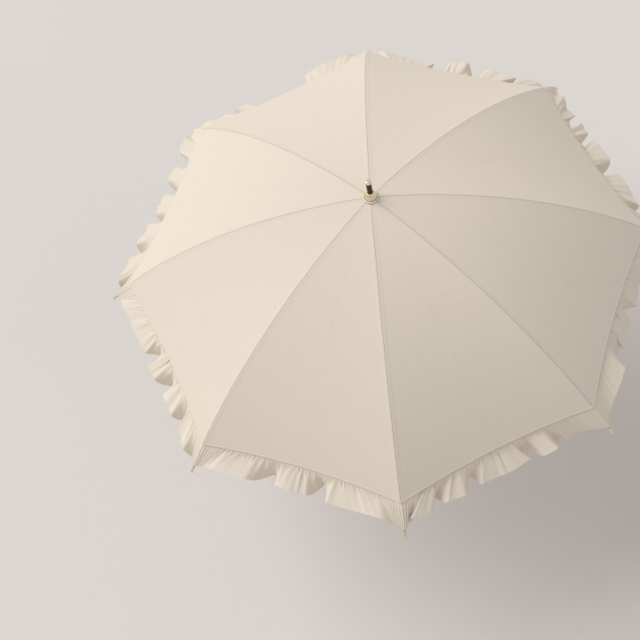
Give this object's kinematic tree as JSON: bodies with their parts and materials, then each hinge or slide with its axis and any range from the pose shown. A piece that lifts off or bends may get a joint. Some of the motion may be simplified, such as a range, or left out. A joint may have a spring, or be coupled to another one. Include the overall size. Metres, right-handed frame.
{
  "type": "parasol",
  "caption": "Open folding-frame parasol: domed cloth canopy with a gathered ruffle, hinged ribs and stretchers on a sliding runner, slim tube shaft and bamboo crook handle.",
  "frame": {"origin": "on the shaft's axis, in the middle of the handle's straight grip", "axes": "+Z along the shaft towards the ferrule; +X towards the side the crook bends to"},
  "size_m": [0.967, 0.967, 0.7203],
  "materials": {
    "cloth": "matte plain weave",
    "gold_metal": "polished",
    "nickel_steel": "satin plated",
    "black_paint": "satin",
    "black_plastic": "matte",
    "bamboo": "varnished"
  },
  "bodies": {
    "shaft_body": {"shaft": "black_paint", "ferrule_tip": "gold_metal", "crown_cap": "gold_metal", "crown_rosette": "cloth", "top_notch": "black_plastic", "notch_wire": "nickel_steel", "handle": "bamboo"},
    "runner_body": {"runner": "black_plastic", "runner_wire": "nickel_steel"},
    "top_catch_body": {"top_catch": "nickel_steel"},
    "bottom_catch_body": {"bottom_catch": "nickel_steel"},
    "rib_body_1": {"rib_1": "nickel_steel", "rib_tip_1": "gold_metal", "rivet_1": "nickel_steel", "canopy_1": "cloth", "ruffle_1": "cloth", "tie_strap": "cloth"},
    "stretcher_body_1": {"stretcher_1": "nickel_steel"},
    "rib_body_2": {"rib_2": "nickel_steel", "rib_tip_2": "gold_metal", "rivet_2": "nickel_steel", "canopy_2": "cloth", "ruffle_2": "cloth"},
    "stretcher_body_2": {"stretcher_2": "nickel_steel"},
    "rib_body_3": {"rib_3": "nickel_steel", "rib_tip_3": "gold_metal", "rivet_3": "nickel_steel", "canopy_3": "cloth", "ruffle_3": "cloth"},
    "stretcher_body_3": {"stretcher_3": "nickel_steel"},
    "rib_body_4": {"rib_4": "nickel_steel", "rib_tip_4": "gold_metal", "rivet_4": "nickel_steel", "canopy_4": "cloth", "ruffle_4": "cloth"},
    "stretcher_body_4": {"stretcher_4": "nickel_steel"},
    "rib_body_5": {"rib_5": "nickel_steel", "rib_tip_5": "gold_metal", "rivet_5": "nickel_steel", "canopy_5": "cloth", "ruffle_5": "cloth"},
    "stretcher_body_5": {"stretcher_5": "nickel_steel"},
    "rib_body_6": {"rib_6": "nickel_steel", "rib_tip_6": "gold_metal", "rivet_6": "nickel_steel", "canopy_6": "cloth", "ruffle_6": "cloth"},
    "stretcher_body_6": {"stretcher_6": "nickel_steel"},
    "rib_body_7": {"rib_7": "nickel_steel", "rib_tip_7": "gold_metal", "rivet_7": "nickel_steel", "canopy_7": "cloth", "ruffle_7": "cloth"},
    "stretcher_body_7": {"stretcher_7": "nickel_steel"},
    "rib_body_8": {"rib_8": "nickel_steel", "rib_tip_8": "gold_metal", "rivet_8": "nickel_steel", "canopy_8": "cloth", "ruffle_8": "cloth"},
    "stretcher_body_8": {"stretcher_8": "nickel_steel"}
  },
  "joints": [
    {"name": "runner_slide", "type": "slide", "parent": "shaft_body", "child": "runner_body", "axis": [0, 0, -1], "range_m": [0, 0.33252], "deforming": ["canopy_1", "ruffle_1", "canopy_2", "ruffle_2", "canopy_3", "ruffle_3", "canopy_4", "ruffle_4", "canopy_5", "ruffle_5", "canopy_6", "ruffle_6", "canopy_7", "ruffle_7", "canopy_8", "ruffle_8", "tie_strap"]},
    {"name": "rib_hinge_1", "type": "hinge", "parent": "shaft_body", "child": "rib_body_1", "pos_m": [0, 0.00993, 0.58312], "axis": [-1, 0, 0], "range_deg": [-0.5, 63.06]},
    {"name": "stretcher_hinge_1", "type": "hinge", "parent": "rib_body_1", "child": "stretcher_body_1", "pos_m": [0, 0.23059, 0.52828], "axis": [-1, 0, 0], "range_deg": [-126.12, 1]},
    {"name": "rib_hinge_2", "type": "hinge", "parent": "shaft_body", "child": "rib_body_2", "pos_m": [0.00702, 0.00702, 0.58312], "axis": [-0.7071, 0.7071, 0], "range_deg": [-0.5, 63.06]},
    {"name": "stretcher_hinge_2", "type": "hinge", "parent": "rib_body_2", "child": "stretcher_body_2", "pos_m": [0.16305, 0.16305, 0.52828], "axis": [-0.7071, 0.7071, 0], "range_deg": [-126.12, 1]},
    {"name": "rib_hinge_3", "type": "hinge", "parent": "shaft_body", "child": "rib_body_3", "pos_m": [0.00993, 0, 0.58312], "axis": [0, 1, 0], "range_deg": [-0.5, 63.06]},
    {"name": "stretcher_hinge_3", "type": "hinge", "parent": "rib_body_3", "child": "stretcher_body_3", "pos_m": [0.23059, 0, 0.52828], "axis": [0, 1, 0], "range_deg": [-126.12, 1]},
    {"name": "rib_hinge_4", "type": "hinge", "parent": "shaft_body", "child": "rib_body_4", "pos_m": [0.00702, -0.00702, 0.58312], "axis": [0.7071, 0.7071, 0], "range_deg": [-0.5, 63.06]},
    {"name": "stretcher_hinge_4", "type": "hinge", "parent": "rib_body_4", "child": "stretcher_body_4", "pos_m": [0.16305, -0.16305, 0.52828], "axis": [0.7071, 0.7071, 0], "range_deg": [-126.12, 1]},
    {"name": "rib_hinge_5", "type": "hinge", "parent": "shaft_body", "child": "rib_body_5", "pos_m": [0, -0.00993, 0.58312], "axis": [1, 0, 0], "range_deg": [-0.5, 63.06]},
    {"name": "stretcher_hinge_5", "type": "hinge", "parent": "rib_body_5", "child": "stretcher_body_5", "pos_m": [0, -0.23059, 0.52828], "axis": [1, 0, 0], "range_deg": [-126.12, 1]},
    {"name": "rib_hinge_6", "type": "hinge", "parent": "shaft_body", "child": "rib_body_6", "pos_m": [-0.00702, -0.00702, 0.58312], "axis": [0.7071, -0.7071, 0], "range_deg": [-0.5, 63.06]},
    {"name": "stretcher_hinge_6", "type": "hinge", "parent": "rib_body_6", "child": "stretcher_body_6", "pos_m": [-0.16305, -0.16305, 0.52828], "axis": [0.7071, -0.7071, 0], "range_deg": [-126.12, 1]},
    {"name": "rib_hinge_7", "type": "hinge", "parent": "shaft_body", "child": "rib_body_7", "pos_m": [-0.00993, 0, 0.58312], "axis": [0, -1, 0], "range_deg": [-0.5, 63.06]},
    {"name": "stretcher_hinge_7", "type": "hinge", "parent": "rib_body_7", "child": "stretcher_body_7", "pos_m": [-0.23059, 0, 0.52828], "axis": [0, -1, 0], "range_deg": [-126.12, 1]},
    {"name": "rib_hinge_8", "type": "hinge", "parent": "shaft_body", "child": "rib_body_8", "pos_m": [-0.00702, 0.00702, 0.58312], "axis": [-0.7071, -0.7071, 0], "range_deg": [-0.5, 63.06]},
    {"name": "stretcher_hinge_8", "type": "hinge", "parent": "rib_body_8", "child": "stretcher_body_8", "pos_m": [-0.16305, 0.16305, 0.52828], "axis": [-0.7071, -0.7071, 0], "range_deg": [-126.12, 1]},
    {"name": "top_catch_press", "type": "hinge", "parent": "shaft_body", "child": "top_catch_body", "pos_m": [0.00148, 0.00061, 0.38083], "axis": [0.3827, -0.9239, 0], "range_deg": [0, 3.5], "stiffness_Nm_per_rad": 0.3},
    {"name": "bottom_catch_press", "type": "hinge", "parent": "shaft_body", "child": "bottom_catch_body", "pos_m": [0.00148, 0.00061, 0.135], "axis": [-0.3827, 0.9239, 0], "range_deg": [0, 3.5], "stiffness_Nm_per_rad": 0.3}
  ],
  "couplings": [
    {"joint": "rib_hinge_1", "follows": "runner_slide", "rad_per_m": 3.2837},
    {"joint": "stretcher_hinge_1", "follows": "runner_slide", "rad_per_m": -6.5673},
    {"joint": "rib_hinge_2", "follows": "runner_slide", "rad_per_m": 3.2837},
    {"joint": "stretcher_hinge_2", "follows": "runner_slide", "rad_per_m": -6.5673},
    {"joint": "rib_hinge_3", "follows": "runner_slide", "rad_per_m": 3.2837},
    {"joint": "stretcher_hinge_3", "follows": "runner_slide", "rad_per_m": -6.5673},
    {"joint": "rib_hinge_4", "follows": "runner_slide", "rad_per_m": 3.2837},
    {"joint": "stretcher_hinge_4", "follows": "runner_slide", "rad_per_m": -6.5673},
    {"joint": "rib_hinge_5", "follows": "runner_slide", "rad_per_m": 3.2837},
    {"joint": "stretcher_hinge_5", "follows": "runner_slide", "rad_per_m": -6.5673},
    {"joint": "rib_hinge_6", "follows": "runner_slide", "rad_per_m": 3.2837},
    {"joint": "stretcher_hinge_6", "follows": "runner_slide", "rad_per_m": -6.5673},
    {"joint": "rib_hinge_7", "follows": "runner_slide", "rad_per_m": 3.2837},
    {"joint": "stretcher_hinge_7", "follows": "runner_slide", "rad_per_m": -6.5673},
    {"joint": "rib_hinge_8", "follows": "runner_slide", "rad_per_m": 3.2837},
    {"joint": "stretcher_hinge_8", "follows": "runner_slide", "rad_per_m": -6.5673}
  ]
}
